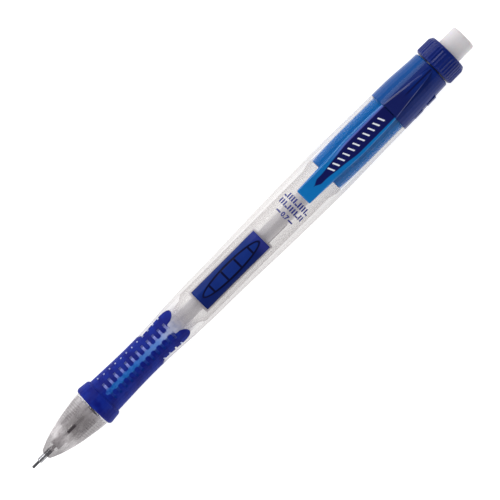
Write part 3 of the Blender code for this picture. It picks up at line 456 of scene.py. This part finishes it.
# %% [markdown]
# ## Rubber grip
# Soft rubber is matte: a fine grain scatters its highlight, and the fingers' wear leaves it a little
# smoother and paler in patches.

# %% Grip rubber
rubber = Finish("blue_rubber", roughness=0.5, Specular_IOR_Level=0.12)
patches = rubber.noise(0.35, 3.0)
rubber.feed("Base Color", rubber.mix(patches.rise(0.4, 0.6), linear(2, 18, 116), linear(8, 34, 134)))
rubber.feed("Roughness", 0.42 + patches * 0.25)
rubber.bump(rubber.noise(9.0, 3.0), 0.02, 0.6)
rubber.on("grip")

# %% [markdown]
# ## Coloured mouldings
# The button, the collar, the hood, the clip and the sleeve are smooth glossy mouldings in their own
# blues. Each gets a faint swirl of pigment, and fine scratches along the pencil, where such parts rub
# in a pocket. One function makes them all, so they keep to one family.

# %% A glossy moulding


def moulding(name, deep, light, roughness, swirl=0.25):
    """A glossy coloured plastic, with its colour before anything is printed on it."""
    made = Finish(name, roughness=roughness, Specular_IOR_Level=0.2)
    colour = made.mix(made.noise(swirl, 3.0), linear(*deep), linear(*light))
    scratches = made.noise(6.0, 3.0, (0.08, 1.0, 1.0))
    made.feed("Roughness", roughness - 0.04 + scratches * 0.1)
    made.bump(scratches, 0.008, 0.5)
    return made, colour


# %% [markdown]
# The button's face has an oval panel with four cross grooves. Shade in the grooves is painted in, so
# the colour darkens there as well. The border round the panel is painted darker on its right side, as
# shade, and paler towards its rear end, as a painted highlight. The flange under the barrel's wall is
# pale, as it catches the light that the clear wall carries.

# %% Button
button, face = moulding("navy_plastic", (8, 36, 112), (18, 50, 130), 0.24)
FLANGE = 0.6
FLANGE_TOP = 4.6
FLANGE_SIDE = 2.86
PANEL_START = BUTTON[0] + FLANGE + 1.2
PANEL_END = BUTTON[1] - FLANGE - 0.7
PANEL_MID = (PANEL_START + PANEL_END) / 2
PANEL_HALF = (PANEL_END - PANEL_START) / 2
PANEL_WIDE = 1.85
GROOVE = 0.48
BAR_EDGE = (GROOVE * 0.42, GROOVE * 0.7)
CROSS_COUNT = 4
CROSS_PITCH = 0.225 * 2 * PANEL_HALF
outer_oval = ((button.x - PANEL_MID) / PANEL_HALF) ** 2.0 + (button.y / PANEL_WIDE) ** 2.0
inner_oval = (((button.x - PANEL_MID) / (PANEL_HALF - GROOVE)) ** 2.0
              + (button.y / (PANEL_WIDE - GROOVE)) ** 2.0)
inside = 1 - outer_oval.rise(0.94, 1.06)
ring = inside * inner_oval.rise(0.92, 1.05)
bars = None
for i in range(CROSS_COUNT):
    near = (button.x - (PANEL_MID + (i - (CROSS_COUNT - 1) / 2) * CROSS_PITCH)).size()
    cross = 1 - near.rise(*BAR_EDGE)
    bars = cross if bars is None else bars.most(cross)
# Painted shade in the grooves.
groove_shade = ring.most(bars * inside) * button.z.rise(3.0, 3.5)
border = 1 - inside
# Painted shade on the right of the border, then a painted highlight towards its rear end.
face = button.mix(border * (1 - button.y.rise(-0.5, 1.5)) * 0.6, face, linear(0, 12, 78))
face = button.mix(border * button.x.rise(PANEL_END - 3.0, PANEL_END) * 0.4, face, linear(60, 60, 150))
outside = 1 - button.x.rise(BUTTON[0] + FLANGE - 0.05, BUTTON[0] + FLANGE)
outside = outside.most(button.y.size().rise(FLANGE_SIDE, FLANGE_SIDE + 0.04))
outside = outside.most(button.x.rise(BUTTON[1] - FLANGE, BUTTON[1] - FLANGE + 0.05))
flange = outside * (1 - button.z.rise(FLANGE_TOP, FLANGE_TOP + 0.1))
face = button.mix(groove_shade * 0.95, face, linear(0, 2, 50))
button.feed("Base Color", button.mix(flange, face, linear(214, 212, 218)))
button.on("side_button")
print("button panel:", round(PANEL_START, 2), "to", round(PANEL_END, 2))

# %% [markdown]
# The collar is the deepest blue. Its ribs are real ridges in the solid, so it needs only its colour.

# %% Collar
collar, colour = moulding("navy_plastic_ribbed", (0, 18, 92), (6, 36, 118), 0.28)
collar.feed("Base Color", colour)
collar.on("twist_collar")

# %% [markdown]
# A spear-shaped navy field lies along the clip and runs on over the front of the hood, so both
# materials draw it from the same formula. It widens in three steps from its tip.

# %% The navy field on the clip and the hood
FIELD_TIP = CLIP[0] + 3.5
FIELD_STEPS = ((0.0, 2.2, 0.8), (3.0, 9.0, 0.55), (8.0, 14.0, 0.65))


def field_half(made):
    """Half the width of the spear-shaped field on top of the clip."""
    half = None
    for start, end, widens in FIELD_STEPS:
        step = made.x.rise(FIELD_TIP + start, FIELD_TIP + end) * widens
        half = step if half is None else half + step
    return half


def field_mask(made):
    """1 inside the field, 0 outside."""
    inside = (field_half(made) - made.y.size()).rise(-0.12, 0.12) * made.z.rise(6.0, 6.3)
    return inside * made.x.rise(FIELD_TIP - 0.05, FIELD_TIP + 0.1)


# %% [markdown]
# The hood caps the barrel and carries the clip. It is a deeper blue, with a painted highlight that
# makes it paler on its left, and a dark line painted along its crown as shade.

# %% Hood
CROWN_SHADE_SPAN = (HOOD[0] + 4.5, HOOD[1] - 0.7)
hood, crown = moulding("royal_blue_plastic", (2, 26, 100), (6, 42, 122), 0.2)
# Painted highlight: paler on the left, where the main lamp stands.
crown = hood.mix(hood.y.rise(1.6, 3.2), crown, linear(0, 70, 140))
fade = 1 - hood.x.rise(HOOD[0] + 4.0, HOOD[0] + 9.0)
crown = hood.mix(field_mask(hood) * fade, crown, linear(14, 26, 92))
# A dark line painted along the crown as shade.
line = (1 - hood.y.size().rise(0.1, 0.3)) * hood.z.rise(3.0, 3.5)
line = line * hood.x.rise(CROWN_SHADE_SPAN[0], CROWN_SHADE_SPAN[0] + 2.0)
line = line * (1 - hood.x.rise(CROWN_SHADE_SPAN[1], CROWN_SHADE_SPAN[1] + 0.4))
hood.feed("Base Color", hood.mix(line * 0.9, crown, linear(0, 3, 60)))
hood.on("hood")

# %% [markdown]
# The clip is the brightest blue, moulded in one with the hood. A row of plain slanted strokes stands
# where a maker would print a name, and a pale crest of light runs along the field's left edge.

# %% Clip
clip, blue = moulding("clip_blue_plastic", (0, 100, 170), (8, 116, 188), 0.16)
blue = clip.mix(field_mask(clip), blue, linear(8, 16, 84))
STROKE_PITCH = 1.7
STROKE_SLANT = 0.45
STROKE_COUNT = 11
FIRST_STROKE = FIELD_TIP + 5.2
lean = (clip.x + clip.y * STROKE_SLANT - FIRST_STROKE) / STROKE_PITCH
phase = (lean.fraction() - 0.5).size()
strokes = (1 - phase.rise(0.10, 0.15)) * (1 - clip.y.size().rise(0.78, 0.84))
strokes = strokes * lean.rise(0.0, 0.01) * (1 - lean.rise(STROKE_COUNT - 0.01, STROKE_COUNT))
strokes = strokes * clip.z.rise(8.0, 8.1)
crest = (clip.y - 0.45 * field_half(clip) - 1.15).size()
crest = (1 - crest.rise(0.12, 0.4)) * clip.x.rise(FIELD_TIP + 6.0, FIELD_TIP + 12.0)
blue = clip.mix(crest * 0.5, blue, linear(120, 124, 214))
clip.feed("Base Color", clip.mix(strokes, blue, linear(226, 230, 240)))
clip.on("clip_arm")

# %% [markdown]
# The spiral sleeve is a thin blue tube inside the barrel's rear, and a little light comes through it.

# %% Spiral sleeve
sleeve, blue = moulding("mid_blue_plastic", (0, 86, 158), (0, 104, 178), 0.22)
sleeve.feed("Base Color", blue)
sleeve.feed("Alpha", (sleeve.rim() * 0.2 + 0.86).clamped())
sleeve.on("spiral_sleeve")

# %% [markdown]
# ## Metal and lead
# The lead sleeve is drawn steel tube, polished round and round, so its fine lines run around it. The
# chuck and its ring are nickel-plated brass.

# %% Metals


def metal(name, dark, bright, roughness, stretch):
    """A bare metal with fine polishing lines. Stretch below 1 draws them out along that axis."""
    made = Finish(name, roughness=roughness, metallic=1.0)
    lines = made.noise(5.0, 3.0, stretch)
    made.feed("Base Color", made.mix(lines, linear(*dark), linear(*bright)))
    made.feed("Roughness", roughness - 0.05 + lines * 0.15)
    made.bump(lines, 0.006, 0.6)
    return made


metal("bright_steel", (112, 112, 116), (176, 176, 180), 0.26, (3.0, 0.2, 0.2)).on("lead_sleeve")
metal("plated_brass", (150, 148, 146), (190, 187, 184), 0.28, (2.0, 0.3, 0.3)).on("chuck", "chuck_ring")
metal("spring_steel", (120, 120, 122), (170, 170, 172), 0.3, (1.0, 1.0, 1.0)).on("chuck_spring")

# %% [markdown]
# A lead is graphite in a baked binder, drawn through a die. Its grain runs along it.

# %% Graphite
graphite = Finish("graphite", roughness=0.4)
grain = graphite.noise(8.0, 4.0, (0.15, 1.0, 1.0))
graphite.feed("Base Color", graphite.mix(grain, linear(34, 34, 38), linear(76, 76, 82)))
graphite.feed("Roughness", 0.3 + grain * 0.3)
graphite.bump(grain, 0.01, 0.6)
graphite.on("lead", "spare_lead_1", "spare_lead_2")

# %% [markdown]
# The works inside are plain milky mouldings that nobody is meant to see. In the slot between the hood
# and the collar they stand in blue shadow, so the colour turns navy there. The retainer that grips the
# lead is soft rubber.

# %% Pale inner mouldings
pale = Finish("pale_plastic", roughness=0.32)
haze = pale.noise(0.5, 3.0, (0.3, 1.0, 1.0))
shade = pale.x.rise(HOOD[1] - 2.0, HOOD[1] - 1.0)
pale.feed("Base Color", pale.mix(
    shade, pale.mix(haze, linear(206, 205, 210), linear(226, 225, 230)), linear(6, 16, 70)))
pale.bump(pale.noise(6.0, 2.0), 0.01, 0.4)
pale.on("lead_tube", "chuck_coupler", "cam_slider", "twist_tube", "stop_ring", "eraser_carrier")

retainer = Finish("soft_grey_rubber", roughness=0.7)
retainer.feed("Base Color", retainer.mix(retainer.noise(3.0), linear(150, 146, 148), linear(176, 172, 174)))
retainer.on("lead_retainer")

# %% [markdown]
# ## Eraser
# White vinyl is matte and slightly see-through. A little graphite smudges its end.

# %% Eraser vinyl
vinyl = Finish("white_eraser", roughness=0.75, Subsurface_Weight=0.15, Subsurface_Scale=0.001)
smudge = vinyl.noise(0.8, 4.0).rise(0.45, 0.8) * vinyl.x.rise(ERASER[1] - 1.6, ERASER[1])
specks = vinyl.noise(7.0, 2.0)
body_white = vinyl.mix(specks, linear(206, 203, 206), linear(220, 216, 219))
vinyl.feed("Base Color", vinyl.mix(smudge * 0.35, body_white, linear(168, 165, 170)))
vinyl.bump(vinyl.noise(4.0, 3.0), 0.03, 0.6)
vinyl.on("eraser")

# %% [markdown]
# ## Small pieces that only the eye needs
# These are built in the pencil's own millimetres and moved into the frame at the end, so that every
# finished piece sits at the origin with its place in its mesh, as the mechanical solids do.

# %% From a bmesh to a piece
TO_FRAME = Matrix.Translation((POINT_X, 0.0, AXIS_Z)) @ Matrix.Scale(MM, 4)
SMOOTH_UP_TO = math.radians(40)
MERGE_WITHIN = 1e-5


def piece(name, shape, look, body):
    """One finished object from a bmesh in the pencil's millimetres, riding on a body."""
    bmesh.ops.remove_doubles(shape, verts=shape.verts, dist=MERGE_WITHIN)
    bmesh.ops.recalc_face_normals(shape, faces=shape.faces)
    bmesh.ops.transform(shape, verts=shape.verts, matrix=TO_FRAME)
    data = bpy.data.meshes.new(name)
    shape.to_mesh(data)
    shape.free()
    data.shade_smooth()
    data.set_sharp_from_angle(angle=SMOOTH_UP_TO)
    data.materials.append(look.material)
    made = bpy.data.objects.new(name, data)
    bpy.context.scene.collection.objects.link(made)
    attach(made, body)
    print(name, len(data.polygons), "faces")


# %% [markdown]
# The nose cone screws onto a threaded spigot, which shows through it as fine slanting lines. One small
# section is spun round the axis while it slides along it, and that leaves a screw thread.

# %% Spigot thread
THREAD_PITCH = 1.0
THREAD_TURNS = 5
THREAD_START = BARREL[0] + 1.6
THREAD_ROOT = 2.93
THREAD_CREST = 3.07
STEPS_PER_TURN = 48
THREAD_SECTION = ((0.0, THREAD_ROOT), (0.3, THREAD_CREST), (0.45, THREAD_CREST), (0.75, THREAD_ROOT))
thread = bmesh.new()
corners = [thread.verts.new((THREAD_START + along, 0.0, out)) for along, out in THREAD_SECTION]
section = thread.faces.new(corners)
bmesh.ops.spin(thread, geom=[section], cent=(0, 0, 0), axis=(1, 0, 0),
               dvec=(THREAD_PITCH / STEPS_PER_TURN, 0, 0),
               angle=2 * math.pi * THREAD_TURNS, steps=STEPS_PER_TURN * THREAD_TURNS)
thread_look = Finish("thread_plastic", roughness=0.15)
thread_look.feed("Base Color", thread_look.mix(
    thread_look.noise(1.5), linear(120, 114, 117), linear(176, 170, 173)))
piece("spigot_thread", thread, thread_look, "body")

# %% [markdown]
# The rubber is moulded over little studs on the barrel, and their clear tips show beside each gap in
# the fingers as a row of pale dots.

# %% Studs through the rubber
STUD_R = 0.23
STUD_ANGLE = math.radians(53)
STUD_SUNK = 0.05
RIGHT_STUDS = (8, 9, 11)
REACH = 2.4
grip_points = [v.co for v in nodes["grip"].data.vertices]


def rubber_radius(along):
    """The grip's outer radius at one station."""
    near = [math.hypot(p.y, p.z - AXIS_Z) / MM for p in grip_points
            if abs(station(p.x) - along) < REACH]
    return max(near)


stud_look = Finish("stud_plastic", roughness=0.2)
stud_look.feed("Base Color", stud_look.mix(
    stud_look.noise(1.0), linear(140, 152, 216), linear(196, 204, 240)))
studs = bmesh.new()
for number in range(GAP_COUNT):
    along = FIRST_GAP + TOOTH_PITCH * number
    out = rubber_radius(along) - STUD_SUNK
    for side in (-1, 1) if number in RIGHT_STUDS else (1,):
        for up in (1, -1):
            centre = (along, side * out * math.sin(STUD_ANGLE), up * out * math.cos(STUD_ANGLE))
            bmesh.ops.create_icosphere(studs, subdivisions=2, radius=STUD_R,
                                       matrix=Matrix.Translation(centre))
piece("grip_studs", studs, stud_look, "body")

# %% [markdown]
# A real maker prints its name here. This pencil carries only the lead's size, between plain bars. The
# figures start as a text object, turn into a mesh, and are rolled round the barrel.

# %% Lead size on the barrel
PRINT_LIFT = 0.02
PRINT_X = 87.9
PRINT_REACH = 6
FIGURE_SIZE = 1.7
FIGURE_BOLD = 0.07
FIGURE_SETBACK = 2.1
DASH = (86.0, 86.4)
DASH_SPAN = (1.3, 2.7)
ROWS = ((87.9, 89.3), (89.9, 91.4))
STROKE = 0.42
STROKE_STEP = 0.72
STROKES_EACH_SIDE = 5
CROSSWISE_EVERY = 5
FOLD_STEP = 0.45
FOLDS_EACH_SIDE = 8
barrel_points = [v.co for v in nodes["barrel"].data.vertices]
BARREL_R = max(math.hypot(p.y, p.z - AXIS_Z) / MM for p in barrel_points
               if abs(station(p.x) - PRINT_X) < PRINT_REACH)


def lettering(text, size, along, across):
    """Flat figures, in millimetres, that read round the barrel."""
    letters = bpy.data.curves.new("letters", "FONT")
    letters.body = text
    letters.size = size
    letters.align_x = "CENTER"
    letters.resolution_u = 3
    letters.offset = FIGURE_BOLD
    holder = bpy.data.objects.new("letters", letters)
    bpy.context.scene.collection.objects.link(holder)
    flat = bpy.data.meshes.new_from_object(holder.evaluated_get(bpy.context.evaluated_depsgraph_get()))
    bpy.data.objects.remove(holder, do_unlink=True)
    shape = bmesh.new()
    shape.from_mesh(flat)
    bpy.data.meshes.remove(flat)
    bmesh.ops.transform(shape, verts=shape.verts, matrix=Matrix(
        ((0, 1, 0, along), (-1, 0, 0, across), (0, 0, 1, 0), (0, 0, 0, 1))))
    return shape


def bar(mesh, x0, x1, y0, y1):
    """A flat rectangle in the print."""
    bmesh.ops.create_grid(mesh, x_segments=1, y_segments=12, size=0.5, matrix=Matrix.Translation(
        ((x0 + x1) / 2, (y0 + y1) / 2, 0)) @ Matrix.Diagonal((x1 - x0, y1 - y0, 1, 1)))


marks = lettering("0.7", FIGURE_SIZE, PRINT_X - FIGURE_SETBACK, 0.0)
bar(marks, *DASH, -DASH_SPAN[1], -DASH_SPAN[0])
bar(marks, *DASH, *DASH_SPAN)
for x0, x1 in ROWS:
    for i in range(-STROKES_EACH_SIDE, STROKES_EACH_SIDE + 1):
        centre = i * STROKE_STEP
        if (i + round(x0)) % CROSSWISE_EVERY:
            bar(marks, x0, x1, centre - STROKE / 2, centre + STROKE / 2)
        else:
            bar(marks, x0, x0 + STROKE, centre - STROKE_STEP / 2, centre + STROKE_STEP / 2)
for i in range(-FOLDS_EACH_SIDE, FOLDS_EACH_SIDE + 1):
    bmesh.ops.bisect_plane(marks, geom=marks.verts[:] + marks.edges[:] + marks.faces[:],
                           plane_co=(0, i * FOLD_STEP, 0), plane_no=(0, 1, 0))
for v in marks.verts:
    turn = v.co.y / BARREL_R
    v.co.y = (BARREL_R + PRINT_LIFT) * math.sin(turn)
    v.co.z = (BARREL_R + PRINT_LIFT) * math.cos(turn)
ink = Finish("printing_ink", roughness=0.45)
ink.feed("Base Color", ink.mix(ink.noise(2.0, 3.0), linear(24, 34, 116), linear(52, 62, 140)))
piece("size_print", marks, ink, "body")
